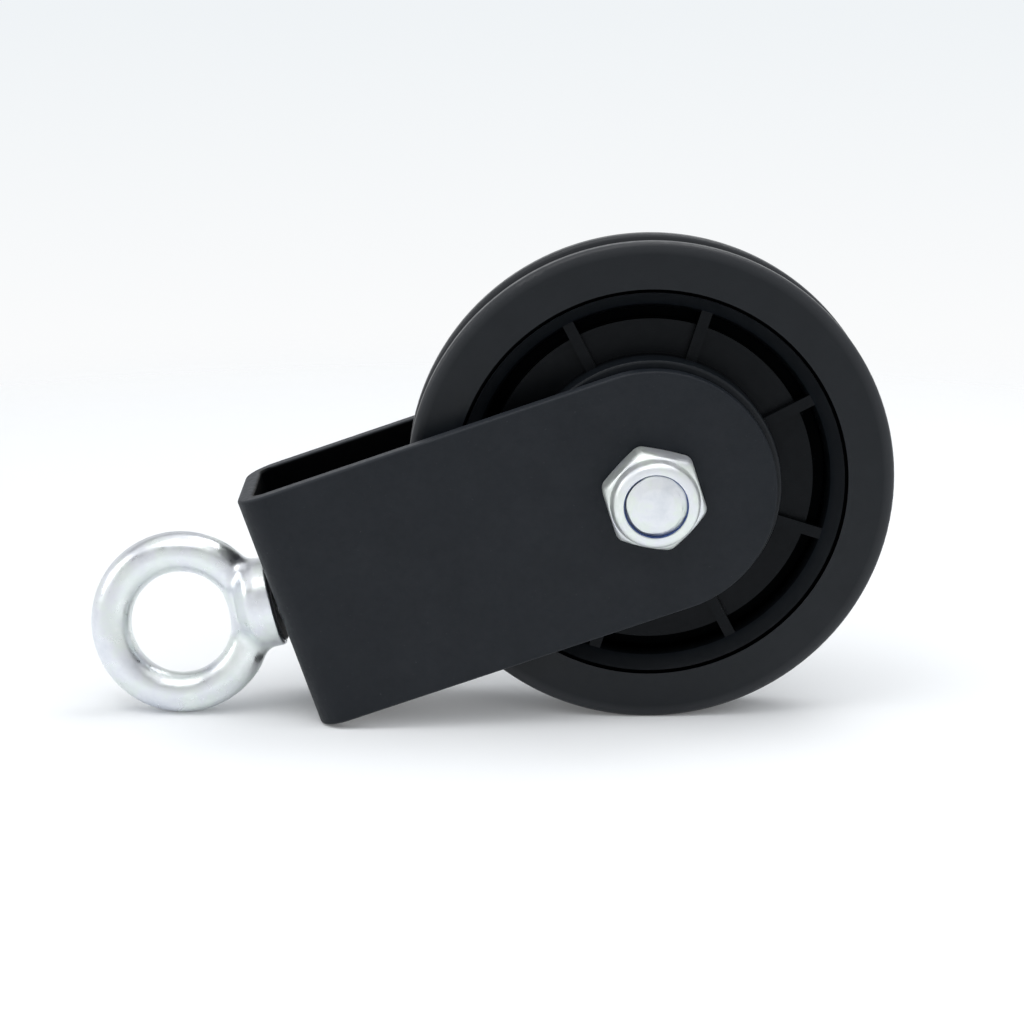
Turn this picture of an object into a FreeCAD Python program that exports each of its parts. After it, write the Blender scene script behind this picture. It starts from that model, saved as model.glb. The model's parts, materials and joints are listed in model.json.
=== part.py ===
import FreeCAD, Part
import math
import os
import Sketcher
from FreeCAD import Placement, Rotation, Vector

# Cable pulley: a grooved nylon wheel on two ball bearings in a folded strap bracket, with a
# swivelling eye bolt through the bracket's web. Lengths are in millimetres, angles in degrees.
# The wheel's axle runs along Y. The pulley lies on a floor at Z = 0, as it comes to rest by
# itself: on the wheel's rim, the lower corner of the web and the ring of the eye.

SIZES = (
    # grooved wheel
    ("wheel_radius", 47.5, "outer radius of both flanges"),
    ("rim_width", 14.2, "across both flanges"),
    ("rim_round", 1.2, "outer corners of the flanges"),
    ("groove_mouth", 7.8, "width of the cable groove at the rim"),
    ("groove_depth", 7.0, "depth of the cable groove"),
    ("groove_root", 2.8, "radius at the bottom of the cable groove"),
    ("mouth_round", 0.8, "corners where the groove meets the rim"),
    ("face_width", 9.05, "width of the flat flange face"),
    ("slit_width", 0.65, "thin turned line beside the flange face"),
    ("slit_depth", 1.2, "depth of that line"),
    ("slope_drop", 0.3, "how far the sloped wall starts below the flange face"),
    ("slope_depth", 3.1, "axial depth of the sloped wall"),
    ("slope_reach", 3.3, "radial reach of the sloped wall"),
    ("slope_round", 1.8, "rounding where the sloped wall turns down"),
    ("trough_draft", 0.3, "draft of the trough's outer wall"),
    ("trough_web", 1.6, "wall left between the two troughs"),
    ("disc_share", 0.733, "edge of the raised disc, as a share of the way from hub to trough wall"),
    ("disc_width", 5.0, "across the raised disc"),
    ("hub_radius", 25.2, "outer radius of the hub"),
    ("hub_width", 19.6, "across the hub"),
    ("hub_round", 0.5, "outer corners of the hub"),
    ("lip_width", 2.8, "lip between the two bearings, and the spacer inside it"),
    ("lip_radius", 12.0, "bore through that lip"),
    ("rib_count", 8, "ribs on each face"),
    ("rib_width", 2.2, "thickness of a rib"),
    ("rib_span", 8.8, "across a rib and its twin on the other face"),
    ("rib_overlap", 1.0, "how far a rib runs into the hub and the wall"),
    ("rib_turn", 17.5, "turn of the ribs as the wheel stands"),
    # ball bearings
    ("bearing_bore", 12.0, "bore of the inner race"),
    ("bearing_outside", 28.0, "outside of the outer race"),
    ("bearing_width", 8.0, "width of each race"),
    ("ball_circle", 20.0, "pitch circle of the balls"),
    ("ball_size", 4.76, "ball diameter"),
    ("ball_count", 8, "balls in each bearing"),
    ("ball_gap", 0.08, "play between a ball and its tracks"),
    ("inner_shoulder", 8.3, "outer radius of the inner race"),
    ("outer_shoulder", 11.7, "inner radius of the outer race"),
    ("seal_seat", 12.6, "radius of the seat that holds a seal"),
    ("seal_depth", 0.85, "depth of that seat"),
    ("seal_thick", 0.7, "thickness of a seal"),
    ("seal_gap", 0.3, "gap between a seal and the inner race"),
    ("cage_thick", 2.0, "radial thickness of the cage"),
    ("cage_width", 5.7, "width of the cage"),
    ("cage_gap", 0.1, "play of a ball in its pocket"),
    # folded bracket
    ("strap_thick", 3.3, "thickness of the strap"),
    ("strap_width", 48.0, "width of the strap"),
    ("strap_edge", 0.6, "rounding of the strap's cut edges"),
    ("bracket_width", 29.1, "across both plates"),
    ("bracket_reach", 76.7, "from the axle to the outside of the web"),
    ("bend_inside", 2.6, "inside radius of the two bends"),
    ("axle_play", 0.25, "play of the axle bolt in the plates"),
    ("eye_hole", 9.0, "hole through the web for the eye's shank"),
    # axle bolt, its nut and spacers
    ("bolt_size", 12.0, "nominal thread"),
    ("bolt_relief", 0.1, "how much thinner the shank is than its thread size"),
    ("bolt_length", 40.0, "length under the head"),
    ("bolt_chamfer", 2.0, "chamfer at the end of the bolt"),
    ("hex_across", 18.0, "across the flats of head and nut"),
    ("head_height", 7.5, "height of the hexagon head"),
    ("nut_height", 10.2, "height of the lock nut"),
    ("nut_hexagon", 7.0, "height of its hexagon"),
    ("nut_collar", 8.2, "radius at the foot of its round collar"),
    ("nut_insert", 1.3, "radial thickness of its nylon ring"),
    ("insert_height", 2.2, "height of its nylon ring"),
    ("nut_lip", 0.6, "thickness of the rolled lip over the ring"),
    ("nut_turn", 48.0, "turn of the nut as it was tightened"),
    ("head_turn", 8.0, "turn of the bolt head"),
    ("spacer_outside", 17.0, "outside of the spacers beside the bearings"),
    ("spacer_play", 0.1, "play of the spacers on the bolt"),
    # swivelling eye
    ("ring_radius", 14.05, "from the middle of the ring to the middle of its bar"),
    ("ring_bar", 7.95, "thickness of the ring's bar"),
    ("collar_radius", 9.0, "radius of the collar"),
    ("collar_height", 2.9, "height of the collar's round edge"),
    ("collar_round", 0.8, "rounding at the collar's face"),
    ("collar_offset", 18.8, "from the middle of the ring to the collar's face"),
    ("eye_turn", 10.0, "turn of the eye about its shank as it rests"),
    ("neck_radius", 4.6, "radius where the neck leaves the ring"),
    ("shank_size", 8.0, "nominal thread of the shank"),
    ("shank_chamfer", 0.9, "chamfer at the end of the shank"),
    ("shank_end", 1.6, "how far the shank passes its nut"),
    ("wear_washer", 1.1, "thickness of the washer under the collar"),
    ("nut_washer", 1.6, "thickness of the washer under the eye's nut"),
    ("washer_outside", 16.0, "outside of both washers"),
    ("washer_play", 0.2, "play of the washers on the shank"),
    ("eye_gap", 0.06, "gap where a washer's edge comes nearest to the web"),
    ("eye_nut_across", 13.0, "across the flats of the eye's nut"),
    ("eye_nut_height", 8.0, "height of the eye's nut"),
    ("eye_nut_hexagon", 5.6, "height of its hexagon"),
    ("eye_nut_collar", 5.9, "radius at the foot of its round collar"),
    ("eye_nut_insert", 1.0, "radial thickness of its nylon ring"),
    ("eye_insert_height", 1.6, "height of its nylon ring"),
    ("eye_nut_lip", 0.5, "thickness of the rolled lip over the ring"),
    ("eye_nut_turn", 12.0, "turn of the eye's nut"),
    ("floor_gap", 0.1, "space left under the eye's ring"),
)

FULL_TURN = 360
HEX_SIDES = 6
OUTSIDE = 2.0  # how far a cutting outline reaches past the material
TOUCH = 0.01  # lengths closer than this count as equal
CHAMFER_CIRCLE = 0.93  # circle left flat on a hexagon's end, as a share of its flats
CHAMFER_SLOPE = math.tan(math.radians(30))
BLANK_CIRCLE = 1.3  # circle that a hexagon is cut from, as a share of its flats
LIP_COVER = 0.2  # how much of the nylon ring stays open inside the rolled lip
COLLAR_SIDE = 2.0  # a lock nut's collar bends in by this share of its wall
LEAN_ROUNDS = 40  # rounds in which the lean of the eye settles
COLLAR_BEND = (0.6, 0.7)  # where that bend is, inwards and down from the top


class Size:
    """A number together with the sheet expression that gives it."""

    def __init__(self, number, text):
        self.number = number
        self.text = text

    def combined(self, sign, other, number):
        other_text = other.text if isinstance(other, Size) else repr(other)
        return Size(number, "(%s %s %s)" % (self.text, sign, other_text))

    def __add__(self, other):
        return self.combined("+", other, self.number + value(other))

    def __sub__(self, other):
        return self.combined("-", other, self.number - value(other))

    def __mul__(self, other):
        return self.combined("*", other, self.number * value(other))

    def __truediv__(self, other):
        return self.combined("/", other, self.number / value(other))

    def __neg__(self):
        return Size(-self.number, "(0 - %s)" % self.text)


def value(size):
    """The plain number of a size or of a number."""
    return size.number if isinstance(size, Size) else size


ZERO = Size(0.0, "0")

os.makedirs("parts", exist_ok=True)
doc = FreeCAD.newDocument("cable_pulley")
sheet = doc.addObject("Spreadsheet::Sheet", "Sizes")
S = {}
for row, (alias, number, remark) in enumerate(SIZES, start=1):
    sheet.set("A%d" % row, alias)
    sheet.set("B%d" % row, str(number))
    sheet.set("C%d" % row, remark)
    sheet.setAlias("B%d" % row, alias)
    S[alias] = Size(float(number), "Sizes." + alias)
doc.recompute()


# Derived sizes that several pieces share
axle_radius = S["bolt_size"] / 2 - S["bolt_relief"] / 2
hub_half = S["hub_width"] / 2
lip_half = S["lip_width"] / 2
bearing_face = lip_half + S["bearing_width"]
plate_outside = S["bracket_width"] / 2
plate_inside = plate_outside - S["strap_thick"]
spacer_length = plate_inside - bearing_face
shank_radius = S["shank_size"] / 2


def lean_of_bracket():
    """Angle of the bracket when the wheel and the web's lower corner both touch the floor."""
    edge = S["strap_edge"].number
    reach = S["bracket_reach"].number - edge
    half = S["strap_width"].number / 2 - edge
    drop = S["wheel_radius"].number - edge
    return math.asin(drop / math.hypot(reach, half)) - math.atan2(half, reach)


def eye_distance(lean):
    """Distance from the middle of the web's hole to the collar's face, at a lean in the hole."""
    half_web = S["strap_thick"].number / 2
    edge = S["washer_outside"].number / 2
    face = (half_web + S["eye_gap"].number + edge * abs(math.sin(lean))) / math.cos(lean)
    return face + S["wear_washer"].number


# How the pulley lies: the eye's ring drops until it rests on the floor, and its shank then
# leans in the web's hole until the edges of its washers meet the web.
bracket_lean = lean_of_bracket()
web_middle = S["bracket_reach"].number - S["strap_thick"].number / 2
hole_height = S["wheel_radius"].number - web_middle * math.sin(bracket_lean)
bar_half = S["ring_bar"].number / 2
eye_turn = math.radians(S["eye_turn"].number)
eye_lean = 0.0
for _ in range(LEAN_ROUNDS):
    tilt = math.asin(math.sin(eye_turn) * math.cos(eye_lean))
    ring_height = S["ring_radius"].number * math.cos(tilt) + bar_half + S["floor_gap"].number
    ring_distance = eye_distance(bracket_lean - eye_lean) + S["collar_offset"].number
    eye_lean = math.asin((hole_height - ring_height) / ring_distance)
rock = bracket_lean - eye_lean
washer_face = eye_distance(rock) - S["wear_washer"].number

# Place of the axle, so that the origin is at the bottom centre of the whole pulley
ring_reach = bar_half + S["ring_radius"].number * math.sqrt(1 - (math.sin(eye_turn) * math.sin(eye_lean)) ** 2)
left_end = -web_middle * math.cos(bracket_lean) - ring_distance * math.cos(eye_lean) - ring_reach
right_end = S["wheel_radius"].number
near_end = plate_outside.number - S["bolt_length"].number
far_end = plate_outside.number + S["head_height"].number
axle = Vector(-(left_end + right_end) / 2, -(near_end + far_end) / 2, S["wheel_radius"].number)
hole_middle = axle + Vector(-web_middle * math.cos(bracket_lean), 0, -web_middle * math.sin(bracket_lean))
ring_middle = hole_middle + Vector(
    -ring_distance * math.cos(eye_lean), 0, -ring_distance * math.sin(eye_lean))


def turned_about_y(degrees):
    """Rotation that lifts local +X by this many degrees towards +Z."""
    return Rotation(Vector(0, 1, 0), -degrees)


ALONG_BRACKET = turned_about_y(math.degrees(bracket_lean))
ALONG_EYE = turned_about_y(math.degrees(eye_lean)).multiply(Rotation(Vector(1, 0, 0), -S["eye_turn"].number))
TO_NEAR_SIDE = Rotation(Vector(1, 0, 0), 180)
Y_TO_X = Rotation(Vector(0, 0, 1), -90)


def bind(target, name, size):
    """Tie a property to the sheet."""
    target.setExpression(name, size.text)


def new_body(name):
    body = doc.addObject("PartDesign::Body", name)
    body.Label = name
    return body


def origin_plane(body, role):
    return next(item for item in body.Origin.OriginFeatures if item.Role == role)


def new_sketch(body, role, name):
    sketch = body.newObject("Sketcher::SketchObject", name)
    sketch.AttachmentSupport = [(origin_plane(body, role), "")]
    sketch.MapMode = "FlatFace"
    return sketch


def hold(sketch, item, end, across, up):
    """Hold one point of a sketch at two sizes measured from its origin."""
    for kind, axis, size in (("DistanceX", -2, across), ("DistanceY", -1, up)):
        if abs(size.number) < 1e-9:
            sketch.addConstraint(Sketcher.Constraint("PointOnObject", item, end, axis))
            continue
        index = sketch.addConstraint(Sketcher.Constraint(kind, -1, 1, item, end, size.number))
        sketch.setExpression("Constraints[%d]" % index, size.text)


def outline(sketch, corners):
    """Closed outline of straight lines, each corner held by its two sizes."""
    first = sketch.GeometryCount
    count = len(corners)
    for index in range(count):
        start = corners[index]
        stop = corners[(index + 1) % count]
        line = Part.LineSegment(
            Vector(start[0].number, start[1].number, 0), Vector(stop[0].number, stop[1].number, 0))
        sketch.addGeometry(line, False)
    for index in range(count):
        following = first + (index + 1) % count
        sketch.addConstraint(Sketcher.Constraint("Coincident", first + index, 2, following, 1))
    for index, (across, up) in enumerate(corners):
        hold(sketch, first + index, 1, across, up)


def circle(sketch, across, up, radius):
    item = sketch.addGeometry(
        Part.Circle(Vector(across.number, up.number, 0), Vector(0, 0, 1), radius.number), False)
    hold(sketch, item, 3, across, up)
    index = sketch.addConstraint(Sketcher.Constraint("Radius", item, radius.number))
    sketch.setExpression("Constraints[%d]" % index, radius.text)


def hexagon(sketch, across_flats):
    """Regular hexagon about the origin, with one pair of flats level."""
    radius = across_flats * (1 / math.sqrt(3))
    corners = []
    for step in range(HEX_SIDES):
        angle = math.radians(step * FULL_TURN / HEX_SIDES)
        cosine = round(math.cos(angle), 12)
        sine = round(math.sin(angle), 12)
        corners.append((radius * cosine if cosine else ZERO, radius * sine if sine else ZERO))
    outline(sketch, corners)


def revolve(body, sketch, axis_name, name, kind="PartDesign::Revolution"):
    feature = body.newObject(kind, name)
    feature.Profile = sketch
    feature.ReferenceAxis = (sketch, [axis_name])
    feature.Angle = FULL_TURN
    sketch.Visibility = False
    return feature


def pad(body, sketch, length, name, both_ways=False):
    feature = body.newObject("PartDesign::Pad", name)
    feature.Profile = sketch
    bind(feature, "Length", length)
    feature.Midplane = both_ways
    return feature


def pocket(body, sketch, name, length=None, reverse=False):
    """A cut through everything both ways, or of one length to one side."""
    feature = body.newObject("PartDesign::Pocket", name)
    feature.Profile = sketch
    if length is None:
        feature.Type = "ThroughAll"
        feature.Midplane = True
    else:
        bind(feature, "Length", length)
        feature.Reversed = reverse
    return feature


def edges_where(feature, test):
    """Names of a feature's edges that pass a test."""
    doc.recompute()
    edges = feature.Shape.Edges
    return ["Edge%d" % (index + 1) for index, edge in enumerate(edges) if test(edge)]


def fillet(body, feature, names, radius, name):
    rounded = body.newObject("PartDesign::Fillet", name)
    rounded.Base = (feature, names)
    bind(rounded, "Radius", radius)
    return rounded


def near(one, other):
    return abs(one - other) < TOUCH


def is_ring(edge, radius, level):
    """True for a full circle about local Y with this radius, at this distance from the middle."""
    curve = edge.Curve
    if not isinstance(curve, Part.Circle) or not near(curve.Radius, radius):
        return False
    centred = math.hypot(curve.Center.x, curve.Center.z) < TOUCH
    return centred and near(abs(curve.Center.y), level)


def turned_body(name, corners):
    """A body turned about its local Y: across is the radius, up is the place along the axis."""
    body = new_body(name)
    sketch = new_sketch(body, "XY_Plane", name + "_section")
    outline(sketch, corners)
    blank = revolve(body, sketch, "V_Axis", name + "_turned")
    return body, blank


def mirrored(half):
    """A section symmetric about its middle, from the half on the positive side."""
    return half + [(across, -up) for across, up in reversed(half)]


def tube_section(inside, outside, length):
    return [(inside, ZERO), (outside, ZERO), (outside, length), (inside, length)]


def make_bracket():
    """Flat strap folded to a U: two plates with full round ends, joined by the web."""
    body = new_body("bracket")
    reach = S["bracket_reach"]
    half = S["strap_width"] / 2
    section = new_sketch(body, "XY_Plane", "bracket_section")
    outline(section, [
        (-reach, -plate_outside),
        (half, -plate_outside),
        (half, -plate_inside),
        (-(reach - S["strap_thick"]), -plate_inside),
        (-(reach - S["strap_thick"]), plate_inside),
        (half, plate_inside),
        (half, plate_outside),
        (-reach, plate_outside),
    ])
    folded = pad(body, section, S["strap_width"], "bracket_strap", both_ways=True)

    def is_bend(edge, across, away):
        middle = edge.BoundBox.Center
        upright = edge.BoundBox.ZLength > S["strap_width"].number / 2
        return upright and near(middle.x, across) and near(abs(middle.y), away)

    inside_bends = edges_where(folded, lambda edge: is_bend(
        edge, S["strap_thick"].number - reach.number, plate_inside.number))
    inner = fillet(body, folded, inside_bends, S["bend_inside"], "bracket_inside_bends")
    outside_bends = edges_where(inner, lambda edge: is_bend(
        edge, -reach.number, plate_outside.number))
    outer_radius = S["bend_inside"] + S["strap_thick"]
    outer = fillet(body, inner, outside_bends, outer_radius, "bracket_outside_bends")

    ends = new_sketch(body, "XZ_Plane", "bracket_ends")
    arc = ends.addGeometry(Part.ArcOfCircle(
        Part.Circle(Vector(0, 0, 0), Vector(0, 0, 1), half.number), -math.pi / 2, math.pi / 2), False)
    past = half + OUTSIDE
    corners = [(ZERO, half), (ZERO, past), (past, past), (past, -past), (ZERO, -past), (ZERO, -half)]
    for start, stop in zip(corners, corners[1:]):
        ends.addGeometry(Part.LineSegment(
            Vector(start[0].number, start[1].number, 0), Vector(stop[0].number, stop[1].number, 0)), False)
    for index in range(len(corners)):
        following = (arc + index + 1) % (len(corners))
        ends.addConstraint(Sketcher.Constraint("Coincident", arc + index, 2, following, 1))
    for index, (across, up) in enumerate(corners[:-1]):
        hold(ends, arc + 1 + index, 1, across, up)
    ends.addConstraint(Sketcher.Constraint("PointOnObject", arc, 1, -2))
    hold(ends, arc, 3, ZERO, ZERO)
    pocket(body, ends, "bracket_round_ends")

    axle_holes = new_sketch(body, "XZ_Plane", "bracket_axle_holes")
    circle(axle_holes, ZERO, ZERO, axle_radius + S["axle_play"])
    pocket(body, axle_holes, "bracket_axle_bore")
    eye_hole = new_sketch(body, "YZ_Plane", "bracket_eye_hole")
    circle(eye_hole, ZERO, ZERO, S["eye_hole"] / 2)
    drilled = pocket(body, eye_hole, "bracket_eye_bore", length=reach + OUTSIDE)

    def is_cut_edge(edge):
        box = edge.BoundBox
        top_or_bottom = near(box.ZLength, 0) and near(abs(box.ZMax), half.number)
        middle = edge.valueAt((edge.FirstParameter + edge.LastParameter) / 2)
        on_end = near(math.hypot(middle.x, middle.z), half.number) and near(box.YLength, 0)
        return top_or_bottom or (on_end and box.ZLength > half.number)

    fillet(body, drilled, edges_where(drilled, is_cut_edge), S["strap_edge"], "bracket_cut_edges")
    body.Placement = Placement(axle, ALONG_BRACKET)


def make_wheel():
    """Moulded wheel: cable groove, two flanges, ribbed webs and a hub that holds two bearings."""
    rim_half = S["rim_width"] / 2
    disc_half = S["disc_width"] / 2
    floor_half = S["trough_web"] / 2
    face_inside = S["wheel_radius"] - S["face_width"]
    slit_inside = face_inside - S["slit_width"]
    slope_top = rim_half - S["slope_drop"]
    slope_foot = slope_top - S["slope_depth"]
    slope_inside = slit_inside - S["slope_reach"]
    disc_radius = S["hub_radius"] + (slope_inside - S["hub_radius"]) * S["disc_share"]
    half = [
        (S["lip_radius"], lip_half),
        (S["bearing_outside"] / 2, lip_half),
        (S["bearing_outside"] / 2, hub_half),
        (S["hub_radius"], hub_half),
        (S["hub_radius"], disc_half),
        (disc_radius, disc_half),
        (disc_radius, floor_half),
        (slope_inside - S["trough_draft"], floor_half),
        (slope_inside, slope_foot),
        (slit_inside, slope_top),
        (slit_inside, rim_half - S["slit_depth"]),
        (face_inside, rim_half - S["slit_depth"]),
        (face_inside, rim_half),
        (S["wheel_radius"], rim_half),
    ]
    body, blank = turned_body("wheel", mirrored(half))

    groove = new_sketch(body, "XY_Plane", "wheel_cable_groove")
    radius = S["wheel_radius"]
    mouth = S["groove_mouth"] / 2
    root = S["groove_root"]
    centre = radius - S["groove_depth"] + root
    past = radius + OUTSIDE
    flank = math.atan2(mouth.number, radius.number - centre.number)
    spread = flank + math.acos(root.number / math.hypot(mouth.number, radius.number - centre.number))
    arc = groove.addGeometry(Part.ArcOfCircle(
        Part.Circle(Vector(centre.number, 0, 0), Vector(0, 0, 1), root.number),
        spread, FULL_TURN / 180 * math.pi - spread), False)
    touch = Vector(
        centre.number + root.number * math.cos(spread), root.number * math.sin(spread), 0)
    points = [
        Vector(touch.x, -touch.y, 0),
        Vector(radius.number, -mouth.number, 0),
        Vector(past.number, -mouth.number, 0),
        Vector(past.number, mouth.number, 0),
        Vector(radius.number, mouth.number, 0),
        touch,
    ]
    for start, stop in zip(points, points[1:]):
        groove.addGeometry(Part.LineSegment(start, stop), False)
    last = len(points) - 1
    groove.addConstraint(Sketcher.Constraint("Tangent", arc, 2, arc + 1, 1))
    for index in range(1, last):
        groove.addConstraint(Sketcher.Constraint("Coincident", arc + index, 2, arc + index + 1, 1))
    groove.addConstraint(Sketcher.Constraint("Tangent", arc + last, 2, arc, 1))
    hold(groove, arc, 3, centre, ZERO)
    hold(groove, arc + 2, 1, radius, -mouth)
    hold(groove, arc + 3, 1, past, -mouth)
    hold(groove, arc + 4, 1, past, mouth)
    hold(groove, arc + 5, 1, radius, mouth)
    index = groove.addConstraint(Sketcher.Constraint("Radius", arc, root.number))
    groove.setExpression("Constraints[%d]" % index, root.text)
    cut = revolve(body, groove, "V_Axis", "wheel_groove", "PartDesign::Groove")

    rims = edges_where(cut, lambda edge: is_ring(edge, radius.number, rim_half.number))
    rim = fillet(body, cut, rims, S["rim_round"], "wheel_rims")
    mouths = edges_where(rim, lambda edge: is_ring(edge, radius.number, mouth.number))
    eased = fillet(body, rim, mouths, S["mouth_round"], "wheel_groove_mouth")
    slopes = edges_where(eased, lambda edge: is_ring(edge, slope_inside.number, slope_foot.number))
    sloped = fillet(body, eased, slopes, S["slope_round"], "wheel_slope")
    hubs = edges_where(sloped, lambda edge: is_ring(edge, S["hub_radius"].number, hub_half.number))
    fillet(body, sloped, hubs, S["hub_round"], "wheel_hub_corners")

    rib_sketch = new_sketch(body, "XZ_Plane", "wheel_rib")
    inner = S["hub_radius"] - S["rib_overlap"]
    outer = slope_inside + S["rib_overlap"]
    side = S["rib_width"] / 2
    outline(rib_sketch, [(inner, -side), (outer, -side), (outer, side), (inner, side)])
    rib = pad(body, rib_sketch, S["rib_span"], "wheel_rib_pad", both_ways=True)
    ribs = body.newObject("PartDesign::PolarPattern", "wheel_ribs")
    ribs.Originals = [rib]
    ribs.Axis = (rib_sketch, ["N_Axis"])
    ribs.Angle = FULL_TURN
    bind(ribs, "Occurrences", S["rib_count"])
    body.Tip = ribs
    body.Placement = Placement(axle, turned_about_y(-S["rib_turn"].number))


def make_bearing(side_name, side):
    """Deep groove ball bearing with a seal on each side, centred in one end of the hub."""
    half = S["bearing_width"] / 2
    middle = axle + Vector(0, side * (lip_half + half).number, 0)
    track = S["ball_size"] / 2 + S["ball_gap"]
    pitch = S["ball_circle"] / 2
    seat_floor = half - S["seal_depth"]
    prefix = side_name + "_bearing_"

    def with_track(body, name):
        sketch = new_sketch(body, "XY_Plane", name + "_track")
        circle(sketch, pitch, ZERO, track)
        revolve(body, sketch, "V_Axis", name + "_ball_track", "PartDesign::Groove")
        body.Placement = Placement(middle, Rotation())

    inner_name = prefix + "inner_race"
    inner, _ = turned_body(inner_name, mirrored([
        (S["bearing_bore"] / 2, half), (S["inner_shoulder"], half)]))
    with_track(inner, inner_name)

    outer_name = prefix + "outer_race"
    outer, _ = turned_body(outer_name, mirrored([
        (S["outer_shoulder"], seat_floor),
        (S["seal_seat"], seat_floor),
        (S["seal_seat"], half),
        (S["bearing_outside"] / 2, half),
    ]))
    with_track(outer, outer_name)

    for face_name, way in (("inner_seal", -side), ("outer_seal", side)):
        seal, _ = turned_body(prefix + face_name, tube_section(
            S["inner_shoulder"] + S["seal_gap"], S["seal_seat"], S["seal_thick"]))
        turn = Rotation() if way > 0 else TO_NEAR_SIDE
        seal.Placement = Placement(middle + Vector(0, way * seat_floor.number, 0), turn)

    balls = []
    for step in range(int(S["ball_count"].number)):
        angle = math.radians(step * FULL_TURN / S["ball_count"].number)
        ball = doc.addObject("Part::Sphere", "%sball_%d" % (prefix, step + 1))
        bind(ball, "Radius", S["ball_size"] / 2)
        ball.Placement.Base = middle + Vector(
            pitch.number * math.cos(angle), 0, pitch.number * math.sin(angle))
        balls.append(ball)
    group = doc.addObject("Part::Compound", prefix + "balls")
    group.Label = prefix + "balls"
    group.Links = balls

    cage_name = prefix + "cage"
    cage_half = S["cage_width"] / 2
    cage, _ = turned_body(cage_name, mirrored([
        (pitch - S["cage_thick"] / 2, cage_half), (pitch + S["cage_thick"] / 2, cage_half)]))
    window = new_sketch(cage, "YZ_Plane", cage_name + "_window")
    circle(window, ZERO, ZERO, S["ball_size"] / 2 + S["cage_gap"])
    cut = pocket(cage, window, cage_name + "_pocket", length=pitch + S["cage_thick"], reverse=True)
    turn_axis = origin_plane(cage, "Y_Axis")
    windows = cage.newObject("PartDesign::PolarPattern", cage_name + "_pockets")
    windows.Originals = [cut]
    windows.Axis = (turn_axis, [""])
    windows.Angle = FULL_TURN
    bind(windows, "Occurrences", S["ball_count"])
    cage.Tip = windows
    cage.Placement = Placement(middle, Rotation())
    return [prefix + name for name in (
        "inner_race", "outer_race", "inner_seal", "outer_seal", "balls", "cage")]


def make_sleeve(name, inside, outside, length, place, turn):
    """Plain turned ring that starts at its place and runs along its local Y."""
    sleeve, _ = turned_body(name, tube_section(inside, outside, length))
    sleeve.Placement = Placement(place, turn)


def hexagon_corner(across):
    """Radius of a hexagon's corners, and the width and height of the chamfer on them."""
    corner = across * (1 / math.sqrt(3))
    chamfer = corner - across / 2 * CHAMFER_CIRCLE
    return corner, chamfer, chamfer * CHAMFER_SLOPE


def cut_flats(body, across, height, name):
    """Mill the six flats of a hexagon up to a height above the local origin."""
    sketch = new_sketch(body, "XZ_Plane", name + "_flats")
    circle(sketch, ZERO, ZERO, across / 2 * BLANK_CIRCLE)
    hexagon(sketch, across)
    return pocket(body, sketch, name + "_six_flats", length=height)


def make_lock_nut(name, across, hex_height, height, bore, collar, insert, insert_height, lip, place):
    """Hexagon lock nut whose round collar is rolled in over a nylon ring."""
    corner, chamfer, drop = hexagon_corner(across)
    seat_floor = height - lip - insert_height
    seat_radius = bore + insert
    top_inside = bore + insert * LIP_COVER
    shoulder = (collar - seat_radius) / 2
    body, _ = turned_body(name, [
        (bore, ZERO),
        (corner - chamfer, ZERO),
        (corner, drop),
        (corner, hex_height - drop),
        (corner - chamfer, hex_height),
        (collar, hex_height),
        (collar, height - shoulder * COLLAR_SIDE),
        (collar - shoulder * COLLAR_BEND[0], height - shoulder * COLLAR_BEND[1]),
        (collar - shoulder * COLLAR_SIDE, height),
        (top_inside, height),
        (top_inside, height - lip),
        (seat_radius, height - lip),
        (seat_radius, seat_floor),
        (bore, seat_floor),
    ])
    cut_flats(body, across, hex_height, name)
    body.Placement = place
    ring, _ = turned_body(name + "_insert", tube_section(bore, seat_radius, insert_height))
    lifted = place.multVec(Vector(0, seat_floor.number, 0))
    ring.Placement = Placement(lifted, place.Rotation)


def make_axle():
    """Bolt through the bracket, its lock nut, and the spacers that hold the bearings apart."""
    corner, chamfer, drop = hexagon_corner(S["hex_across"])
    bolt, _ = turned_body("axle_bolt", [
        (ZERO, S["head_height"]),
        (corner - chamfer, S["head_height"]),
        (corner, S["head_height"] - drop),
        (corner, ZERO),
        (axle_radius, ZERO),
        (axle_radius, -(S["bolt_length"] - S["bolt_chamfer"])),
        (axle_radius - S["bolt_chamfer"], -S["bolt_length"]),
        (ZERO, -S["bolt_length"]),
    ])
    cut_flats(bolt, S["hex_across"], S["head_height"], "axle_bolt")
    bolt.Placement = Placement(
        axle + Vector(0, plate_outside.number, 0), turned_about_y(S["head_turn"].number))

    nut_place = Placement(
        axle - Vector(0, plate_outside.number, 0),
        turned_about_y(S["nut_turn"].number).multiply(TO_NEAR_SIDE))
    make_lock_nut(
        "axle_nut", S["hex_across"], S["nut_hexagon"], S["nut_height"], axle_radius,
        S["nut_collar"], S["nut_insert"], S["insert_height"], S["nut_lip"], nut_place)

    inside = axle_radius + S["spacer_play"]
    outside = S["spacer_outside"] / 2
    start = Vector(0, bearing_face.number, 0)
    make_sleeve("far_spacer", inside, outside, spacer_length, axle + start, Rotation())
    make_sleeve("near_spacer", inside, outside, spacer_length, axle - start, TO_NEAR_SIDE)
    make_sleeve(
        "bearing_spacer", inside, outside, S["lip_width"],
        axle - Vector(0, lip_half.number, 0), Rotation())


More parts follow.
